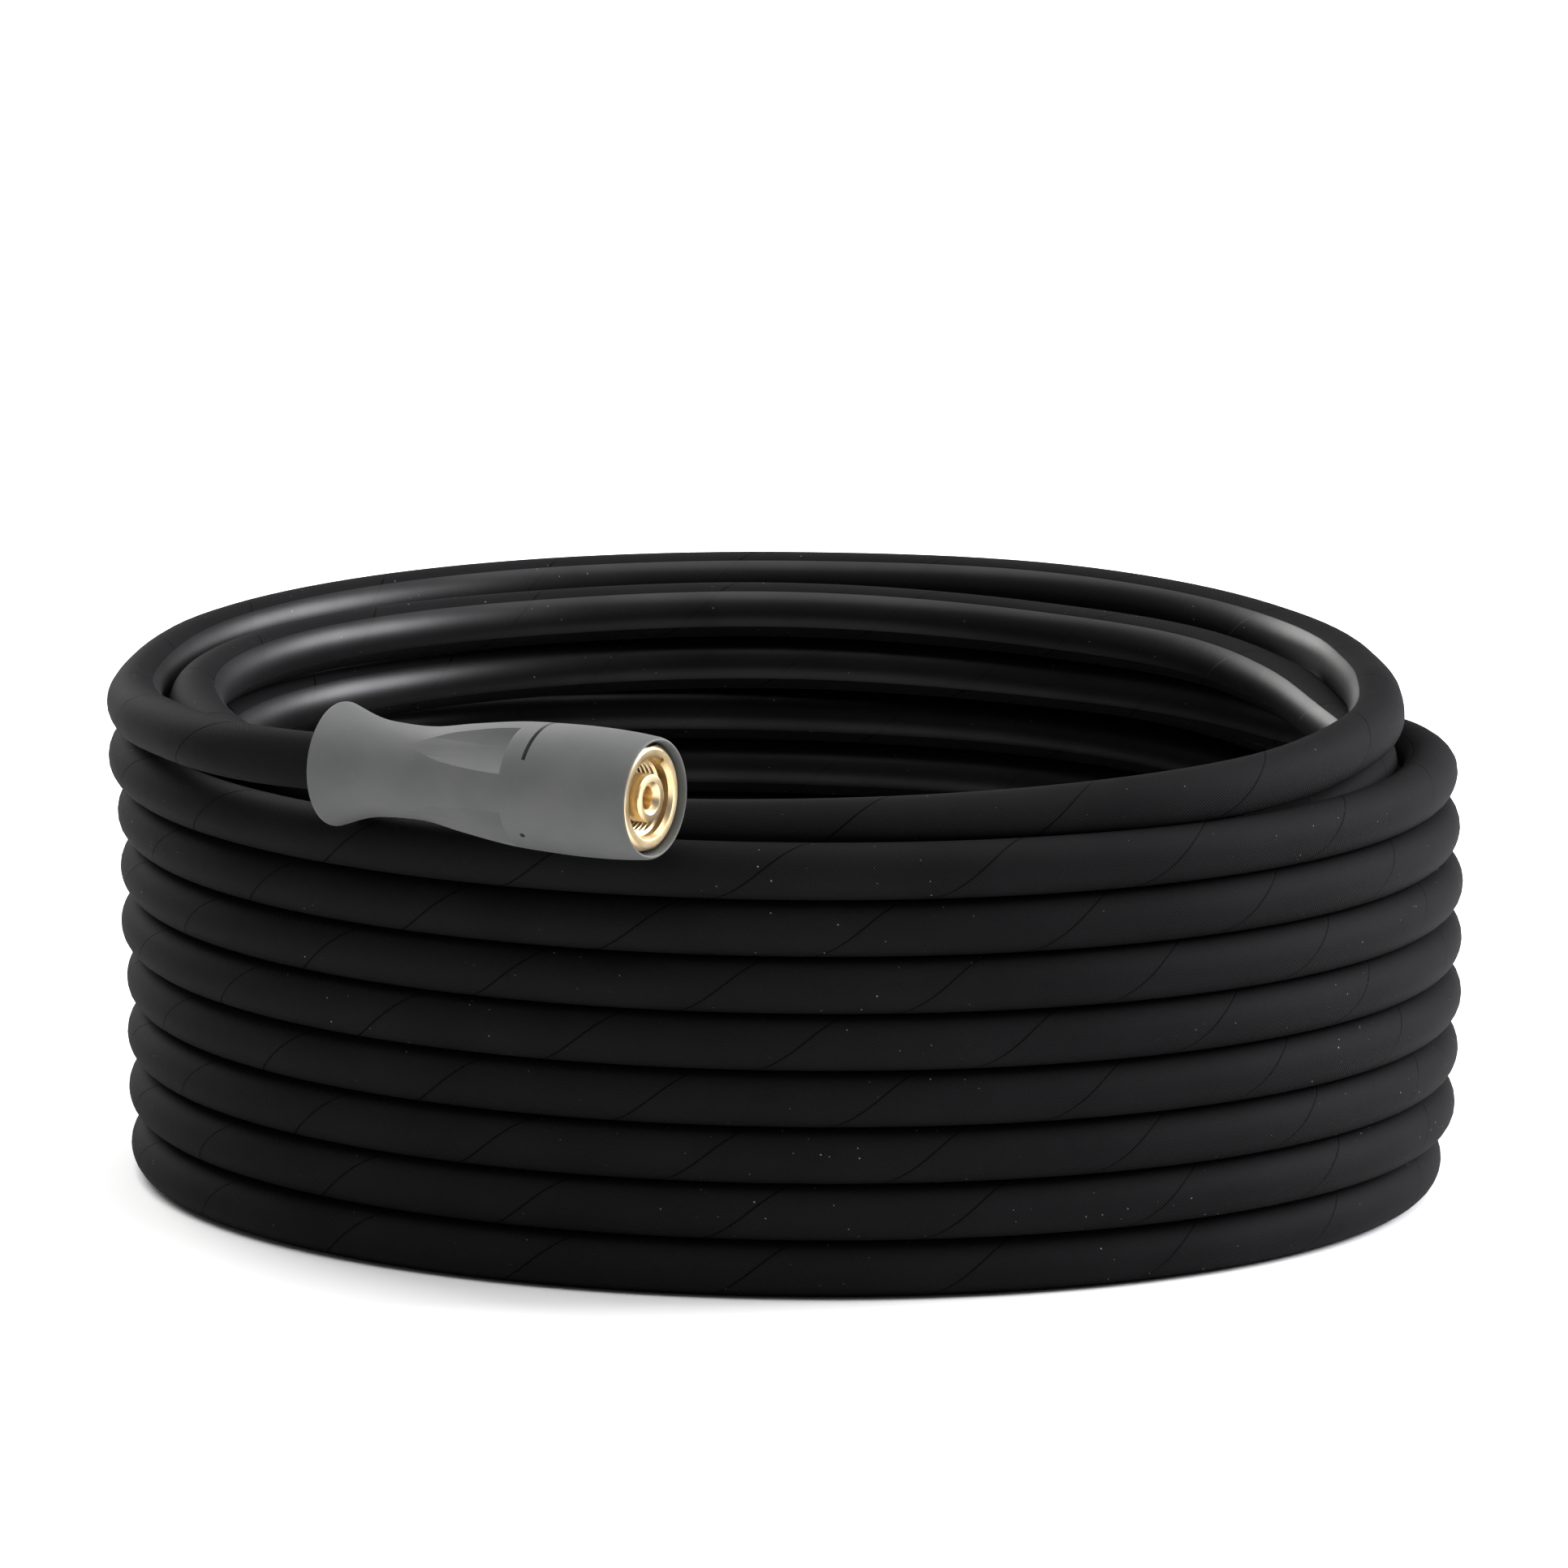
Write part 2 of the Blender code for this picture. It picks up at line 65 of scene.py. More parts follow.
# Fitting, measured from the grip's bell end along its axis
HOSE_END = 70.0 * MM
STRAIGHT_LEAD = 25.0 * MM
NUT_FRONT = 105.6 * MM
NUT_BACK = 79.0 * MM
NUT_ACROSS_FLATS = 29.6 * MM
FLATS_OVERRUN = 5.0 * MM
GRIP_SIDES = 144
GRIP_EDGE_R = 0.45 * MM
NUT_SIDES = 96
NUT_CORNER_R = 0.5 * MM
NIPPLE_SIDES = 72
SHOULDER_AT = 65.3 * MM
HOLLOW_R = 26.0 * MM
HOLLOW_L = 36.0 * MM
HOLLOW_FLOOR = 14.8 * MM
HOLLOW_LEAN = math.radians(-2.1)
SLOT_AT = 72.0 * MM
SLOT_L = 1.3 * MM
SLOT_MIDDLE_R = 18.9 * MM
SLOT_DEPTH = 6.0 * MM
SLOT_HALF = 57.0
PIN_AT = 71.0 * MM
PIN_R = 0.85 * MM
PIN_FROM = 15.0 * MM
PIN_TO = 22.0 * MM
PIN_TURN = math.radians(221)
NICK_R = 1.15 * MM
NICK_OUT = 11.3 * MM
NICK_DEPTH = 2.6 * MM
NICK_OVERRUN = 2.0 * MM
NICK_TURN = math.radians(60)
THREAD_PITCH = 1.5 * MM
THREAD_START = 4.6 * MM
THREAD_TURNS = 12
THREAD_STEPS = 60

# Sharpest angle that each piece's shading still rounds, in degrees
GRIP_SHADED = 32
NUT_SHADED = 19
NIPPLE_SHADED = 24

# The coil's axis is the middle of the stack's ring.
ring_low, ring_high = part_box("hose_coil")
COIL_AXIS = Vector(((ring_low.x + ring_high.x) / 2, (ring_low.y + ring_high.y) / 2, 0.0))


# Camera, measured from the coil's axis, with its two tilts in degrees
CAMERA_LENS = 404.35
CAMERA_DOWN = 9.778
CAMERA_ROLL = 0.739
CAMERA_SPOT = Vector((-2.37, -5150.0, 1004.1)) * MM

# Studio light: the name, place, size, power and tint of each softbox
SOFTBOXES = [
    ("softbox_right", (1.75, 0.6, 0.9), (1.4, 0.9), 78.0, (0.97, 0.96, 1.0)),
    ("softbox_left", (-1.05, 1.55, 0.95), (1.1, 0.9), 32.0, (1.0, 0.99, 0.98)),
]
LIT_HEIGHT = 0.08
OVERHEAD_POWER = 3.9
OVERHEAD_SPREAD = math.radians(75)
WORLD_POWER = 0.15

FLOOR_SIZE = 40.0
FLOOR_HEIGHT = -0.25 * MM


def add_camera():
    data = bpy.data.cameras.new("camera")
    data.lens = CAMERA_LENS
    data.sensor_width = 36.0
    data.clip_end = 60.0
    camera = bpy.data.objects.new("camera", data)
    bpy.context.scene.collection.objects.link(camera)
    pitch = Matrix.Rotation(math.radians(90 - CAMERA_DOWN), 4, "X")
    roll = Matrix.Rotation(math.radians(CAMERA_ROLL), 4, "Z")
    camera.matrix_world = Matrix.Translation(COIL_AXIS + CAMERA_SPOT) @ pitch @ roll
    bpy.context.scene.camera = camera


# The hose's way over the stack. Each row is an angle in degrees round the coil's axis from +X, then
# how far out of the stack's even radius and above its top turn the hose lies, in hose diameters.
# The angles fall along the hose, from the outer fitting to the inner one.
TOP_ROUTE = [
    (205, 0.77, 1.37), (192, 0.35, 1.18), (180, 0.18, 1.07), (157, 0.07, 1.25), (135, 0.02, 1.35),
    (90, 0, 1.44), (60, -0.12, 1.45), (47, -0.18, 1.35), (36, -0.34, 1.24), (26, -0.63, 1.18),
    (17, -0.94, 1.15), (8, -1.15, 1.21), (0, -1.2, 1.28), (-10, -1.04, 1.19), (-22, -0.79, 1.18),
    (-45, -0.41, 0.99), (-66, -0.64, 0.8), (-90, -0.86, 0.63),
    (-110, -0.96, 0.51), (-130, -1.09, 0.42), (-150, -1.06, 0.63), (-180, -0.91, 0.94),
    (-203, -1.07, 1.02), (-225, -1.22, 1.03), (-240, -1.3, 1.03), (-270, -1.36, 1.06),
    (-297, -1.4, 0.93), (-320, -1.4, 0.79), (-332, -1.49, 0.6), (-345, -1.54, 0.35),
    (-360, -1.28, 0.19), (-375, -1.2, 0.1), (-390, -1.16, -0.04), (-420, -1.1, -0.3),
    (-450, -1.07, -0.42), (-490, -1.07, -0.6), (-540, -1.07, -0.12), (-585, -1.07, -0.05),
    (-630, -1.07, 0.02), (-657, -1.08, -0.08), (-672, -1.08, -0.1), (-682, -1.03, -0.14),
    (-690, -0.9, -0.19), (-698, -0.7, -0.12), (-708, -0.4, -0.02),
]
# The tail's way in the same form, with its angles from where the floor turns end, and its radii and
# heights from a turn that lies on the floor two pitches inside the stack
TAIL_ROUTE = [
    (0, -1.42, 0.0), (-22.5, -1.56, 0.0), (-46, -2.08, 0.03),
    (-71, -2.88, 0.12), (-100, -4.0, 0.33), (-130, -4.62, 0.55),
]

# Each turn of the stack from the top down: how much wider it is than in an even stack, and how far
# it lies from its place there along X and Y, in mm
TURN_SHIFTS = [
    (0.3, -2.7, 0.0), (-0.6, -0.8, 0.0), (-0.5, 0.3, 0.0), (-0.7, 0.4, 0.0), (-1.5, 1.4, 0.0),
    (-2.0, 1.2, 0.0), (-2.6, 1.2, -0.3), (-5.0, -0.3, -1.9),
]
# The radii of the two floor turns and of the tail's start, in mm
FLOOR_RADII = [168.2, 151.8, 135.4]

# Share of the way down to the next turn, by the angle that is left to the turn's end
DESCENT = [
    (0, 1.0), (12, 1.0), (22, 0.96), (30, 0.85), (38, 0.62), (47, 0.42), (56, 0.3), (65, 0.22),
    (88, 0.13), (120, 0.0),
]
# The same for a turn that moves in beside the next one on the floor: it goes first, to make room.
DRAW_IN = [
    (0, 1.0), (12, 1.0), (22, 0.985), (30, 0.955), (38, 0.9), (47, 0.82), (56, 0.74), (65, 0.65),
    (88, 0.5), (105, 0.32), (120, 0.15), (138, 0.03), (150, 0.0),
]
STACK_STARTS = -720
STACK_STEP = 2.0
TAIL_LEAD = 30
OUTER_BELL_ANGLE = 230


# A smooth curve through given points, with three-point slopes at each of them.
def smooth_value(xs, ys, x):
    last = len(xs) - 1
    i = 0
    while i < last - 1 and x > xs[i + 1]:
        i += 1

    def rise(k):
        return (ys[k + 1] - ys[k]) / (xs[k + 1] - xs[k])

    def slope(k):
        if k == 0:
            return rise(0)
        if k == last:
            return rise(last - 1)
        before = xs[k] - xs[k - 1]
        after = xs[k + 1] - xs[k]
        return (after * rise(k - 1) + before * rise(k)) / (before + after)

    span = xs[i + 1] - xs[i]
    u = (x - xs[i]) / span
    start = (1 + 2 * u) * (1 - u) ** 2 * ys[i] + u * (1 - u) ** 2 * span * slope(i)
    end = u * u * (3 - 2 * u) * ys[i + 1] - u * u * (1 - u) * span * slope(i + 1)
    return start + end


def from_polar(angle, radius, height):
    turn = math.radians(angle)
    return COIL_AXIS + Vector((radius * math.cos(turn), radius * math.sin(turn), height))


def to_polar(point, near):
    spot = point - COIL_AXIS
    angle = math.degrees(math.atan2(spot.y, spot.x))
    angle += 360 * round((near - angle) / 360)
    return angle, math.hypot(spot.x, spot.y), spot.z


def round_route(controls, first, last):
    xs = [-control[0] for control in controls]
    radii = [control[1] for control in controls]
    heights = [control[2] for control in controls]
    count = math.ceil(xs[last] - xs[first])
    spots = []
    for k in range(count + 1):
        x = xs[first] + (xs[last] - xs[first]) * k / count
        spots.append(from_polar(-x, smooth_value(xs, radii, x), smooth_value(xs, heights, x)))
    return spots


def turn_level(k):
    if k < len(TURN_SHIFTS):
        wider, aside, back = TURN_SHIFTS[k]
        return COIL_R + wider * MM, TOP_TURN_Z - k * PITCH, aside * MM, back * MM
    return FLOOR_RADII[k - len(TURN_SHIFTS)] * MM, HOSE_R, 0.0, 0.0


# The middle of the hose in the stack and in the floor turns.
def stacked_spot(angle):
    turns = (STACK_STARTS - angle) / 360
    k = math.floor(turns)
    left = 360 * (1 - (turns - k))
    change = DESCENT if k < len(TURN_SHIFTS) - 1 else DRAW_IN
    share = 0.0
    if left < change[-1][0]:
        share = smooth_value([row[0] for row in change], [row[1] for row in change], left)
    above = turn_level(k)
    below = turn_level(min(k + 1, len(TURN_SHIFTS) + len(FLOOR_RADII) - 1))
    radius, height, aside, back = (a + (b - a) * share for a, b in zip(above, below))
    return from_polar(angle, radius, height) + Vector((aside, back, 0.0))


def fitting_place(joint_name):
    joint = next(row for row in frame["joints"] if row["name"] == joint_name)
    axis = Vector(joint["axis"]).normalized()
    foot = Vector(joint["pos_m"]) - axis * NUT_FRONT
    return Matrix.Translation(foot) @ axis.to_track_quat("Z", "Y").to_matrix().to_4x4()


def hose_way(outer, inner):
    controls = []
    for along in (STRAIGHT_LEAD, 0, -STRAIGHT_LEAD):
        controls.append(to_polar(outer @ Vector((0, 0, along)), OUTER_BELL_ANGLE))
    for angle, out, up in TOP_ROUTE:
        controls.append((angle, COIL_R + out * HOSE_D, TOP_TURN_Z + up * HOSE_D))
    last = len(controls)
    for angle in (STACK_STARTS - 1, STACK_STARTS - 8, STACK_STARTS - 16):
        controls.append(to_polar(stacked_spot(angle), angle))
    spots = [outer @ Vector((0, 0, HOSE_END))] + round_route(controls, 1, last)
    floor_ends = STACK_STARTS - 360 * (len(TURN_SHIFTS) + len(FLOOR_RADII) - 1)
    tail_starts = floor_ends + TAIL_LEAD
    angle = STACK_STARTS - 3
    while angle > tail_starts:
        spots.append(stacked_spot(angle))
        angle -= STACK_STEP
    controls = []
    for angle in (tail_starts + 8, tail_starts):
        controls.append(to_polar(stacked_spot(angle), angle))
    for angle, out, up in TAIL_ROUTE:
        controls.append((angle + floor_ends, INNER_TURN_R + out * HOSE_D, HOSE_R + up * HOSE_D))
    for along in (-STRAIGHT_LEAD, 0.0, STRAIGHT_LEAD):
        controls.append(to_polar(inner @ Vector((0, 0, along)), floor_ends - 180))
    spots += round_route(controls, 1, len(controls) - 2)
    spots.append(inner @ Vector((0, 0, HOSE_END)))
    return even_spots(spots, RING_STEP)


# The same way read again at even steps.
def even_spots(spots, step):
    reach = [0.0]
    for a, b in zip(spots, spots[1:]):
        reach.append(reach[-1] + (b - a).length)
    count = math.ceil(reach[-1] / step)
    result = []
    i = 0
    for k in range(count + 1):
        along = reach[-1] * k / count
        while i < len(spots) - 2 and reach[i + 1] < along:
            i += 1
        part = (along - reach[i]) / (reach[i + 1] - reach[i])
        result.append(spots[i].lerp(spots[i + 1], min(1.0, part)))
    return result


# A round tube along the way. Its UV map holds metres along the hose and the share of a turn
# round it, from the side that faces the coil's axis.
def hose_tube(name, spots, material):
    made = bmesh.new()
    wrap = made.loops.layers.uv.new("along_and_round")
    rings = []
    reach = [0.0]
    for i, spot in enumerate(spots):
        ahead = (spots[min(i + 1, len(spots) - 1)] - spots[max(i - 1, 0)]).normalized()
        inward = COIL_AXIS - spot
        inward.z = 0.0
        inward = (inward - ahead * inward.dot(ahead)).normalized()
        over = ahead.cross(inward)
        ring = []
        for j in range(HOSE_SIDES):
            turn = math.tau * j / HOSE_SIDES
            aside = math.cos(turn) * inward + math.sin(turn) * over
            ring.append(made.verts.new(spot + SKIN_R * aside))
        rings.append(ring)
        if i:
            reach.append(reach[-1] + (spot - spots[i - 1]).length)
    for i in range(len(rings) - 1):
        for j in range(HOSE_SIDES):
            k = (j + 1) % HOSE_SIDES
            face = made.faces.new((rings[i][j], rings[i][k], rings[i + 1][k], rings[i + 1][j]))
            face.smooth = True
            places = ((i, j), (i, j + 1), (i + 1, j + 1), (i + 1, j))
            for loop, (row, column) in zip(face.loops, places):
                loop[wrap].uv = (reach[row], column / HOSE_SIDES)
    made.faces.new(rings[0])
    made.faces.new(rings[-1][::-1])
    bmesh.ops.recalc_face_normals(made, faces=made.faces)
    mesh = bpy.data.meshes.new(name)
    made.to_mesh(mesh)
    made.free()
    mesh.materials.append(material)
    tube = bpy.data.objects.new(name, mesh)
    bpy.context.scene.collection.objects.link(tube)
    return tube


# One value in a material, with Python's operators for its Math nodes.
class Value:
    def __init__(self, finish, socket):
        self.finish = finish
        self.socket = socket

    def by(self, operation, *values):
        node = self.finish.node("ShaderNodeMath", {"operation": operation}, dict(enumerate(values)))
        return Value(self.finish, node.outputs[0])

    def __add__(self, other):
        return self.by("ADD", self, other)

    __radd__ = __add__

    def __sub__(self, other):
        return self.by("SUBTRACT", self, other)

    def __rsub__(self, other):
        return self.by("SUBTRACT", other, self)

    def __mul__(self, other):
        return self.by("MULTIPLY", self, other)

    __rmul__ = __mul__

    def __truediv__(self, other):
        return self.by("DIVIDE", self, other)

    def __abs__(self):
        return self.by("ABSOLUTE", self)

    def root(self):
        return self.by("SQRT", self)

    def sine(self):
        return self.by("SINE", self)

    def fraction(self):
        return self.by("FRACT", self)

    def smallest(self, other):
        return self.by("MINIMUM", self, other)

    def largest(self, other):
        return self.by("MAXIMUM", self, other)

    # 0 below low, 1 above high and an even S between, or the other way round.
    def rising(self, low, high):
        node = self.finish.node(
            "ShaderNodeMapRange", {"interpolation_type": "SMOOTHSTEP"},
            {"Value": self, "From Min": low, "From Max": high},
        )
        return Value(self.finish, node.outputs["Result"])


# A material on one Principled shader.
class Finish:
    def __init__(self, name, **fixed):
        self.material = bpy.data.materials.new(name)
        self.material.use_nodes = True
        self.tree = self.material.node_tree
        self.shader = self.tree.nodes["Principled BSDF"]
        for label, value in fixed.items():
            self.shader.inputs[label.replace("_", " ")].default_value = value

    def node(self, kind, settings, inputs):
        made = self.tree.nodes.new(kind)
        for label, value in settings.items():
            setattr(made, label, value)
        for label, value in inputs.items():
            if isinstance(value, Value):
                self.tree.links.new(value.socket, made.inputs[label])
            elif isinstance(value, bpy.types.NodeSocket):
                self.tree.links.new(value, made.inputs[label])
            else:
                made.inputs[label].default_value = value
        return made

    def feed(self, label, value):
        self.tree.links.new(getattr(value, "socket", value), self.shader.inputs[label])

    def object_place(self):
        return self.node("ShaderNodeTexCoord", {}, {}).outputs["Object"]

    def noise(self, where, scale, detail=2.0, roughness=0.5):
        made = self.node(
            "ShaderNodeTexNoise", {},
            {"Vector": where, "Scale": scale, "Detail": detail, "Roughness": roughness},
        )
        return Value(self, made.outputs["Fac"])

    def specks(self, where, scale, size):
        cells = self.node("ShaderNodeTexVoronoi", {}, {"Vector": where, "Scale": scale})
        split = self.node("ShaderNodeSeparateColor", {}, {"Color": cells.outputs["Color"]})
        chance = Value(self, split.outputs["Red"])
        far = Value(self, cells.outputs["Distance"])
        return 1 - (far / (chance * size + size * 0.3)).rising(0.6, 1.0)

    def blend(self, share, first, second):
        made = self.node(
            "ShaderNodeMix", {"data_type": "RGBA"}, {"Factor": share, "A": first, "B": second}
        )
        return made.outputs["Result"]

    def bump(self, height, distance, strength):
        inputs = {"Height": height, "Distance": distance, "Strength": strength}
        return self.node("ShaderNodeBump", {}, inputs).outputs["Normal"]


def grey(level, warm=0.0):
    return (level * (1 + warm), level, level * (1 - warm), 1.0)


# Black rubber with the marks of the wrapping tape that it was cured in: fine slanting ribs, with
# their light and dark lines also painted into the colour as painted shade, the tape's overlap as a
# thin winding line, and the smooth band of the mould on the inner side.
def rubber_finish():
    rib_along = 0.976 * MM
    ribs_round = 52
    tape_along = 62.0 * MM
    line_half = 0.004
    band_half = 41.0
    band_raised = 10.0
    darkest = 0.008
    relief_height = 0.09 * MM
    rubber = Finish("hose_rubber", IOR=1.09, Coat_Roughness=0.4)
    mapped = rubber.node("ShaderNodeUVMap", {"uv_map": "along_and_round"}, {})
    parts = rubber.node("ShaderNodeSeparateXYZ", {}, {"Vector": mapped.outputs["UV"]})
    along = Value(rubber, parts.outputs["X"])
    around = Value(rubber, parts.outputs["Y"])
    where = rubber.object_place()
    from_inner = 180 - abs((around + band_raised / 360).fraction() - 0.5) * 360
    band = 1 - from_inner.rising(band_half - 1.5, band_half + 1.0)
    band_edge = 1 - (abs(from_inner - band_half) / 2.2).smallest(1.0)
    rib = ((along / rib_along - around * ribs_round) * math.tau).sine() * 0.5 + 0.5
    wrap = (along / tape_along + around).fraction()
    line = 1 - abs(wrap - 0.5).rising(line_half, line_half + 0.005)
    step = wrap.rising(0.494, 0.504)
    fine = rubber.noise(where, 1400.0, 2.0, 0.6)
    patch = rubber.noise(where, 28.0, 3.0, 0.55)
    broad = rubber.noise(where, 6.0, 2.0, 0.5)
    dust = rubber.specks(where, 260.0, 0.065) * rubber.noise(where, 17.0).rising(0.42, 0.62)
    ribbed = 1 - band * 0.75
    stretched = rubber.node(
        "ShaderNodeCombineXYZ", {}, {"X": along * 420.0, "Y": around * 7.0, "Z": 0.0}
    ).outputs["Vector"]
    wrinkle = rubber.noise(stretched, 1.0, 2.0, 0.5).rising(0.52, 0.75) * band
    # Painted shade: the ribs lighten and darken the base colour as well as its bump, under the
    # random tone of the noises.
    shade = darkest * (0.55 + rib * ribbed * 0.9) * (0.7 + patch * 0.6) * (0.85 + broad * 0.3)
    tone_and_painted_rib_shade = rubber.node(
        "ShaderNodeCombineColor", {},
        {"Red": shade * 1.02, "Green": shade * 0.97, "Blue": shade * 1.04},
    ).outputs["Color"]
    marked = rubber.blend((line * 0.85).largest(band_edge * 0.5), tone_and_painted_rib_shade, grey(0.0012))
    dusty = rubber.blend(dust * 0.6, marked, grey(0.32, 0.02))
    rubber.feed("Base Color", dusty)
    rubber.feed("Roughness", 0.62 + fine * 0.08 + patch * 0.08 - band * 0.1)
    rubber.feed("Coat Weight", band * (0.24 + patch * 0.36))
    relief = rib * ribbed * 0.75 + step * 1.3 - line * 1.8
    relief = relief - band_edge * 0.8 + fine * 0.25 - wrinkle * 0.9
    rubber.feed("Normal", rubber.bump(relief, relief_height, 0.8))
    return rubber.material


# Matt grey grip plastic, finely pitted.
def grip_finish():
    deep_grey = (0.083, 0.087, 0.085, 1.0)
    pale_grey = (0.100, 0.103, 0.100, 1.0)
    grip = Finish("grip_plastic", Specular_IOR_Level=0.35)
    where = grip.object_place()
    grain = grip.noise(where, 2600.0, 2.0, 0.6)
    cloud = grip.noise(where, 45.0, 3.0, 0.5)
    shade = grip.blend(cloud.rising(0.3, 0.7), deep_grey, pale_grey)
    specked = grip.blend(grip.specks(where, 420.0, 0.07) * 0.3, shade, grey(0.3))
    grip.feed("Base Color", specked)
    grip.feed("Roughness", 0.56 + grain * 0.1 + cloud * 0.05)
    grip.feed("Normal", grip.bump(grain + cloud * 0.6, 0.05 * MM, 0.5))
    return grip.material


# Turned brass. The rings of the lathe tool run round the fitting's own axis.
def brass_finish(name, place):
    tool_step = 0.22 * MM
    deep_brass = (0.70, 0.53, 0.28, 1.0)
    pale_brass = (0.80, 0.65, 0.41, 1.0)
    brass = Finish(name, Metallic=1.0)
    turned = brass.node(
        "ShaderNodeMapping", {"vector_type": "TEXTURE"},
        {
            "Vector": brass.object_place(),
            "Location": place.to_translation(),
            "Rotation": place.to_euler(),
        },
    ).outputs["Vector"]
    parts = brass.node("ShaderNodeSeparateXYZ", {}, {"Vector": turned})
    x, y, z = (Value(brass, parts.outputs[label]) for label in "XYZ")
    radius = (x * x + y * y).root()
    rings = ((radius + z) * (math.tau / tool_step)).sine() * 0.5 + 0.5
    smear = brass.noise(turned, 160.0, 3.0, 0.6)
    brass.feed("Base Color", brass.blend(smear.rising(0.25, 0.75), deep_brass, pale_brass))
    brass.feed("Roughness", 0.27 + smear * 0.12)
    brass.feed("Normal", brass.bump(rings, 0.003 * MM, 0.4))
    return brass.material


# Zinc-plated steel with a faint spangle
def steel_finish():
    steel = Finish("zinc_steel", Metallic=1.0)
    where = steel.object_place()
    spangle = steel.noise(where, 300.0, 3.0, 0.6)
    steel.feed("Base Color", steel.blend(spangle.rising(0.3, 0.7), grey(0.38), grey(0.5)))
    steel.feed("Roughness", 0.28 + spangle * 0.2)
    steel.feed("Normal", steel.bump(spangle, 0.02 * MM, 0.4))
    return steel.material


# The studio's pale floor
def floor_finish():
    floor = Finish("pale_floor", Roughness=0.9, Specular_IOR_Level=0.0)
    cloud = floor.noise(floor.object_place(), 1.5, 2.0, 0.5)
    floor.feed("Base Color", floor.blend(cloud, grey(0.90), grey(0.93)))
    return floor.material


# Working in edit mode, as by hand
def deselect_all():
    for obj in list(bpy.context.selected_objects):
        obj.select_set(False)


def make_active(obj):
    deselect_all()
    obj.select_set(True)
    bpy.context.view_layer.objects.active = obj


# A turned form: a circle drawn out ring by ring along (radius, height), back to its start.
def turned(name, outline, sides):
    deselect_all()
    radius, height = outline[0]
    bpy.ops.mesh.primitive_circle_add(vertices=sides, radius=radius, location=(0, 0, height))
    obj = bpy.context.active_object
    obj.name = name
    bpy.ops.object.transform_apply(location=True, rotation=True, scale=True)
    bpy.ops.object.mode_set(mode="EDIT")
    bpy.ops.mesh.select_all(action="SELECT")
    for wide, high in outline[1:] + outline[:1]:
        bpy.ops.mesh.extrude_edges_move(TRANSFORM_OT_translate={"value": (0, 0, high - height)})
        grow = wide / radius
        bpy.ops.transform.resize(value=(grow, grow, 1.0), center_override=(0, 0, high))
        radius, height = wide, high
    bpy.ops.mesh.select_all(action="SELECT")
    bpy.ops.mesh.remove_doubles(threshold=0.000001)
    bpy.ops.mesh.normals_make_consistent(inside=False)
    bpy.ops.object.mode_set(mode="OBJECT")
    return obj


# A round or many-sided bar along Z, as a cutter.
def bar(name, sides, radius, low, high, spot=(0.0, 0.0), turn=0.0):
    deselect_all()
    bpy.ops.mesh.primitive_cylinder_add(
        vertices=sides, radius=radius, depth=high - low,
        location=(spot[0], spot[1], (low + high) / 2), rotation=(0, 0, turn),
    )
    obj = bpy.context.active_object
    obj.name = name
    bpy.ops.object.transform_apply(location=True, rotation=True, scale=True)
    return obj


# Takes the tool's shape away from the piece, or keeps only what both fill.
def cut(obj, tool, operation="DIFFERENCE"):
    make_active(obj)
    change = obj.modifiers.new(tool.name, "BOOLEAN")
    change.operation = operation
    change.solver = "EXACT"
    change.object = tool
    bpy.ops.object.modifier_apply(modifier=change.name)
    bpy.data.objects.remove(tool, do_unlink=True)


def round_edges(obj, width, segments, angle):
    make_active(obj)
    change = obj.modifiers.new("round", "BEVEL")
    change.width = width
    change.segments = segments
    change.limit_method = "ANGLE"
    change.angle_limit = math.radians(angle)
    bpy.ops.object.modifier_apply(modifier=change.name)


# The piece gets its material and its shading, and its place goes into its mesh.
def finish_piece(obj, material, place, angle):
    obj.data.materials.clear()
    obj.data.materials.append(material)
    make_active(obj)
    bpy.ops.object.shade_smooth_by_angle(angle=math.radians(angle))
    obj.data.transform(place)
    return obj


# The grip's outer radius along its length, in mm, before its hollows
GRIP_OUTSIDE = [
    (1.6, 17.75), (4.0, 16.9), (8.5, 15.36), (13.9, 14.13), (19.0, 13.69), (31.0, 13.6),
    (45.4, 15.8), (63.0, 18.0), (74.0, 18.5), (85.0, 18.7), (94.0, 18.5), (101.0, 18.1),
    (105.6, 17.65),
]


# The grip's whole outline, in metres: lip, outside, mouth, and back through the inside. The rings
# are closest where the hollows end.
def grip_outline():
    xs = [row[0] for row in GRIP_OUTSIDE]
    ys = [row[1] for row in GRIP_OUTSIDE]
    stops = [1.6, 2.6, 4.0, 5.5, 7.0, 8.5, 10.5, 12.5, 14.5, 17.0, 20.0, 23.0, 26.0]
    stops += [28.0 + 1.7 * k for k in range(20)]
    stops += [61.2, 61.8, 62.3, 62.7, 63.1, 63.5, 63.9, 64.3, 64.8]
    stops += [66.0, 68.0, 70.0, 72.0, 74.0, 77.0, 80.0, 83.0, 86.0, 89.0, 92.0, 95.0, 98.0]
    stops += [101.0, 103.5, 105.6]
    outside = [(smooth_value(xs, ys, stop), stop) for stop in stops]
    lip = [(16.9, 0.0), (17.5, 0.05), (17.95, 0.35), (18.0, 0.8), (17.9, 1.2)]
    mouth = [(17.45, 106.4), (17.15, 106.85), (16.8, 107.0), (16.5, 106.85), (16.32, 106.4)]
    inside = [
        (16.25, 98.2), (16.0, 97.9), (15.4, 97.8), (15.4, 78.5), (15.2, 78.2), (11.0, 78.2),
        (11.0, 39.6), (10.7, 39.2), (8.6, 39.1), (8.6, 19.0), (9.4, 15.0), (11.2, 10.5),
        (13.4, 6.0), (15.6, 2.2), (16.6, 0.4),
    ]
    return [(radius * MM, height * MM) for radius, height in lip + outside + mouth + inside]


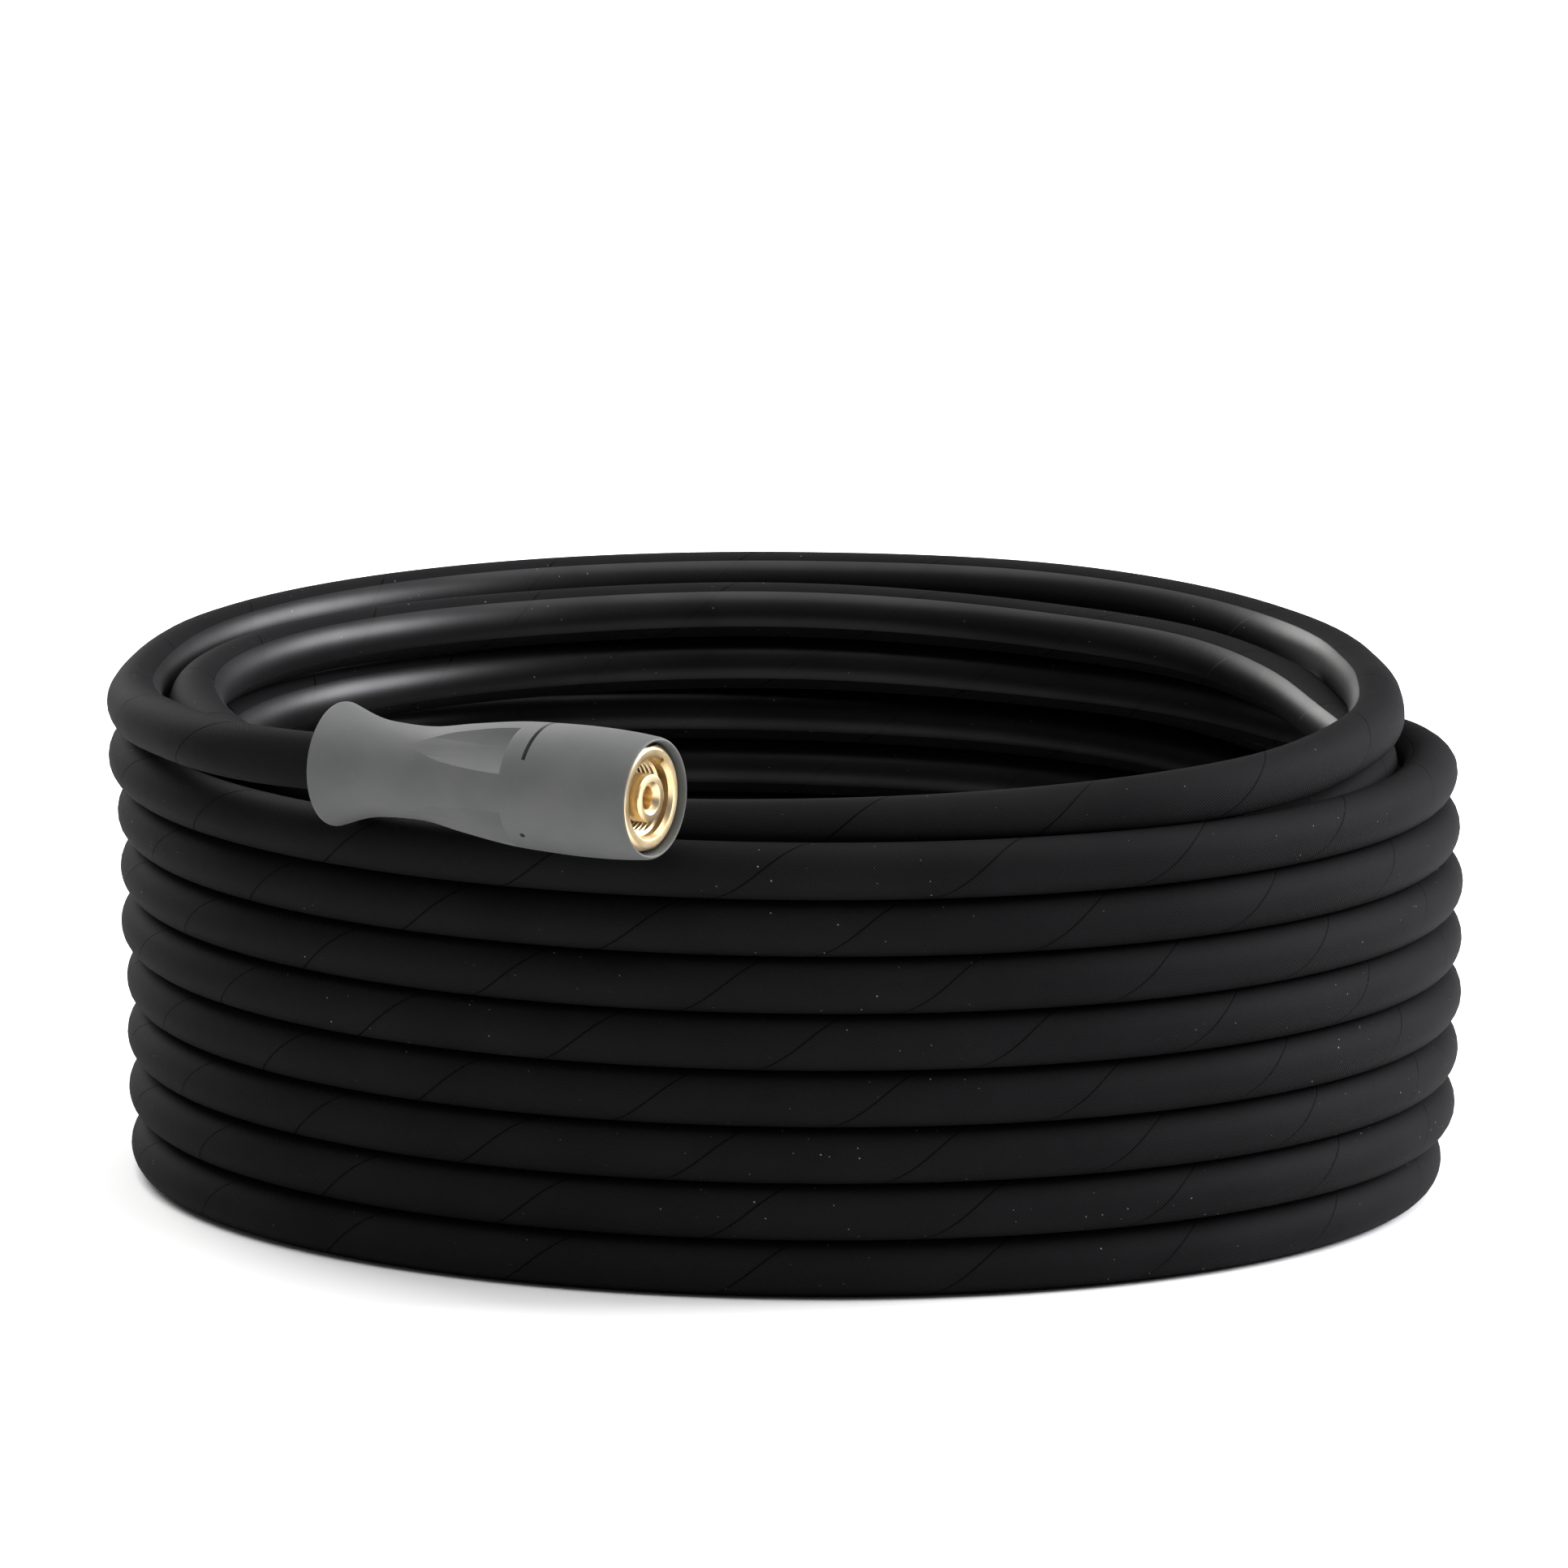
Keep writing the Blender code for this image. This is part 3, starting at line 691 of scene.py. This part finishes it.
# Four shallow hollows, each the side of a wide leaning bar that ends square at the shoulder
def make_hollows(grip):
    for quarter in range(4):
        tool = bar("hollow_tool", 96, HOLLOW_R, 0.0, HOLLOW_L, (HOLLOW_R, 0.0))
        point_back = Matrix.Scale(-1, 4, (0, 0, 1))
        lean = Matrix.Rotation(-HOLLOW_LEAN, 4, "Y")
        lay = Matrix.Translation((HOLLOW_FLOOR, 0, SHOULDER_AT)) @ lean @ point_back
        tool.data.transform(Matrix.Rotation(math.radians(45 + 90 * quarter), 4, "Z") @ lay)
        tool.data.flip_normals()
        cut(grip, tool)


# The curved slot over the grip's top: a small upright face swept round the axis.
def slot_tool():
    deselect_all()
    bpy.ops.mesh.primitive_plane_add(size=1.0)
    tool = bpy.context.active_object
    tool.name = "slot_tool"
    tool.scale = (SLOT_DEPTH, SLOT_L, 1.0)
    tool.rotation_euler = (math.pi / 2, 0.0, 0.0)
    tool.location = (SLOT_MIDDLE_R, 0.0, SLOT_AT)
    bpy.ops.object.transform_apply(location=True, rotation=True, scale=True)
    bpy.ops.object.mode_set(mode="EDIT")
    bpy.ops.mesh.select_all(action="SELECT")
    bpy.ops.mesh.spin(
        steps=26, angle=math.radians(-2 * SLOT_HALF), center=(0, 0, 0), axis=(0, 0, 1),
        use_auto_merge=False,
    )
    bpy.ops.mesh.select_all(action="SELECT")
    bpy.ops.mesh.normals_make_consistent(inside=False)
    bpy.ops.object.mode_set(mode="OBJECT")
    reach = [math.atan2(vert.co.y, vert.co.x) for vert in tool.data.vertices]
    middle = (min(reach) + max(reach)) / 2
    tool.data.transform(Matrix.Rotation(math.pi / 2 - middle, 4, "Z"))
    return tool


# The small round hole in the grip's side
def pin_tool():
    tool = bar("pin_tool", 24, PIN_R, PIN_FROM, PIN_TO)
    turn = Matrix.Rotation(PIN_TURN, 4, "Z")
    lay = Matrix.Rotation(math.pi / 2, 4, "Y")
    tool.data.transform(Matrix.Translation((0, 0, PIN_AT)) @ turn @ lay)
    return tool


def make_grip(name):
    grip = turned(name, grip_outline(), GRIP_SIDES)
    make_hollows(grip)
    round_edges(grip, GRIP_EDGE_R, 3, 20)
    cut(grip, slot_tool())
    cut(grip, pin_tool())
    return grip


# A screw nut: a turned body with six flats and a small nick at its mouth.
def make_nut(name):
    front = NUT_FRONT / MM
    back = NUT_BACK / MM
    outline = [
        (6.6, back), (13.6, back), (15.0, back + 1.0), (15.0, front - 6.9), (15.6, front - 6.3),
        (15.6, front - 1.4), (15.45, front - 1.05), (14.5, front - 0.2), (14.1, front),
        (12.3, front), (12.0, front - 0.1), (11.15, front - 1.0), (11.0, front - 1.2),
        (11.0, back + 4.1), (10.9, back + 4.0), (6.6, back + 4.0),
    ]
    nut = turned(name, [(radius * MM, height * MM) for radius, height in outline], NUT_SIDES)
    corner = NUT_ACROSS_FLATS / 2 / math.cos(math.pi / 6)
    flats = bar(
        "flats", 6, corner, NUT_BACK - FLATS_OVERRUN, NUT_FRONT + FLATS_OVERRUN, turn=math.pi / 6
    )
    round_edges(flats, NUT_CORNER_R, 3, 30)
    cut(nut, flats, "INTERSECT")
    spot = (NICK_OUT * math.cos(NICK_TURN), NICK_OUT * math.sin(NICK_TURN))
    cut(nut, bar("nick", 20, NICK_R, NUT_FRONT - NICK_DEPTH, NUT_FRONT + NICK_OVERRUN, spot))
    return nut


# The thread's ridge, swept round and up by the pitch, with its two ends closed.
def make_thread(name):
    low = NUT_BACK + THREAD_START
    deselect_all()
    bpy.ops.mesh.primitive_circle_add(vertices=4, radius=1.0 * MM, fill_type="NGON")
    ridge = bpy.context.active_object
    ridge.name = name
    bpy.ops.object.mode_set(mode="EDIT")
    # The four corners of the ridge: two in the nut's wall, and a narrow crest between them
    edited = bmesh.from_edit_mesh(ridge.data)
    corners = [(11.12, 0.06), (10.22, 0.66), (10.22, 0.84), (11.12, 1.44)]
    for vert, (radius, height) in zip(edited.verts, corners):
        vert.co = Vector((radius * MM, 0.0, low + height * MM))
    bmesh.update_edit_mesh(ridge.data)
    bpy.ops.mesh.select_all(action="SELECT")
    bpy.ops.mesh.delete(type="ONLY_FACE")
    bpy.ops.object.mode_set(mode="OBJECT")
    make_active(ridge)
    sweep = ridge.modifiers.new("sweep", "SCREW")
    sweep.angle = math.tau
    sweep.screw_offset = THREAD_PITCH
    sweep.iterations = THREAD_TURNS
    sweep.steps = THREAD_STEPS
    sweep.render_steps = THREAD_STEPS
    bpy.ops.object.modifier_apply(modifier=sweep.name)
    bpy.ops.object.mode_set(mode="EDIT")
    bpy.ops.mesh.select_all(action="DESELECT")
    bpy.ops.mesh.select_mode(type="EDGE")
    bpy.ops.mesh.select_non_manifold(extend=False)
    bpy.ops.mesh.edge_face_add()
    bpy.ops.mesh.select_mode(type="VERT")
    bpy.ops.mesh.select_all(action="SELECT")
    bpy.ops.mesh.normals_make_consistent(inside=False)
    bpy.ops.object.mode_set(mode="OBJECT")
    return ridge


# The nipple that seats in the gun or machine, from its mouth to its heel at the hose's end
def make_nipple(name):
    front = NUT_FRONT / MM
    outline = [
        (3.1, front - 2.2), (3.3, front - 1.5), (4.5, front - 0.12), (4.75, front), (6.35, front),
        (6.75, front - 0.14), (6.96, front - 0.45), (7.0, front - 0.8), (7.0, front - 4.6),
        (6.75, front - 4.9), (6.55, front - 5.1), (6.55, front - 6.7), (6.75, front - 6.9),
        (7.0, front - 7.2), (7.0, 87.6), (7.2, 87.3), (8.7, 87.3), (9.0, 87.0), (9.0, 83.6),
        (8.7, 83.3), (6.1, 83.3),
        (6.1, 71.8), (7.6, 71.8), (7.6, 70.3), (3.1, 70.3),
    ]
    return turned(name, [(radius * MM, height * MM) for radius, height in outline], NIPPLE_SIDES)


def join_pieces(first, second):
    deselect_all()
    second.select_set(True)
    first.select_set(True)
    bpy.context.view_layer.objects.active = first
    bpy.ops.object.join()
    return first


def copy_piece(obj, name):
    twin = obj.copy()
    twin.data = obj.data.copy()
    twin.name = name
    bpy.context.scene.collection.objects.link(twin)
    return twin


def add_floor():
    deselect_all()
    bpy.ops.mesh.primitive_plane_add(size=FLOOR_SIZE, location=(0, 0, FLOOR_HEIGHT))
    floor = bpy.context.active_object
    floor.name = "floor"
    bpy.ops.object.transform_apply(location=True, rotation=True, scale=True)
    floor.data.materials.append(floor_finish())


def add_softbox(name, spot, size, power, tint):
    data = bpy.data.lights.new(name, "AREA")
    data.shape = "RECTANGLE"
    data.size, data.size_y = size
    data.energy = power
    data.color = tint
    box = bpy.data.objects.new(name, data)
    bpy.context.scene.collection.objects.link(box)
    box.location = spot
    towards = COIL_AXIS + Vector((0, 0, LIT_HEIGHT)) - Vector(spot)
    box.rotation_euler = towards.to_track_quat("-Z", "Y").to_euler()


def add_light():
    data = bpy.data.lights.new("overhead", "SUN")
    data.energy = OVERHEAD_POWER
    data.angle = OVERHEAD_SPREAD
    sky = bpy.data.objects.new("overhead", data)
    bpy.context.scene.collection.objects.link(sky)
    for row in SOFTBOXES:
        add_softbox(*row)
    world = bpy.data.worlds.new("studio")
    world.use_nodes = True
    background = world.node_tree.nodes["Background"].inputs
    background["Color"].default_value = (1.0, 1.0, 1.0, 1.0)
    background["Strength"].default_value = WORLD_POWER
    bpy.context.scene.world = world
    bpy.context.scene.view_settings.view_transform = "Standard"


add_camera()
outer = fitting_place("outer_swivel")
inner = fitting_place("inner_swivel")
way = hose_way(outer, inner)
hose = hose_tube("pressure_hose", way, rubber_finish())
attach(hose, "hose")
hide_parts("hose_coil", "hose_floor_turns", "hose_top", "hose_tail")

grip_plastic = grip_finish()
steel = steel_finish()
places = {"a": outer, "b": inner}
brass = {tag: brass_finish("turned_brass_" + tag, place) for tag, place in places.items()}
forms = {
    "grip": make_grip("grip_form"),
    "nut": join_pieces(make_nut("nut_form"), make_thread("thread_form")),
    "nipple": make_nipple("nipple_form"),
}
for tag, place in places.items():
    grip = finish_piece(copy_piece(forms["grip"], "grip_" + tag), grip_plastic, place, GRIP_SHADED)
    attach(grip, "grip_" + tag)
    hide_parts("grip_sleeve_" + tag)
    nut = finish_piece(copy_piece(forms["nut"], "screw_nut_" + tag), brass[tag], place, NUT_SHADED)
    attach(nut, "grip_" + tag)
    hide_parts("swivel_nut_" + tag)
    nipple_form = copy_piece(forms["nipple"], "hose_nipple_" + tag)
    nipple = finish_piece(nipple_form, brass[tag], place, NIPPLE_SHADED)
    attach(nipple, "hose")
    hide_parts("nipple_" + tag)
    ferrule = frame["nodes"]["crimp_ferrule_" + tag]
    ferrule.data.materials.clear()
    ferrule.data.materials.append(steel)
for form in forms.values():
    bpy.data.objects.remove(form, do_unlink=True)

tuple(outer @ Vector((0, 0, HOSE_END)))
add_floor()
add_light()
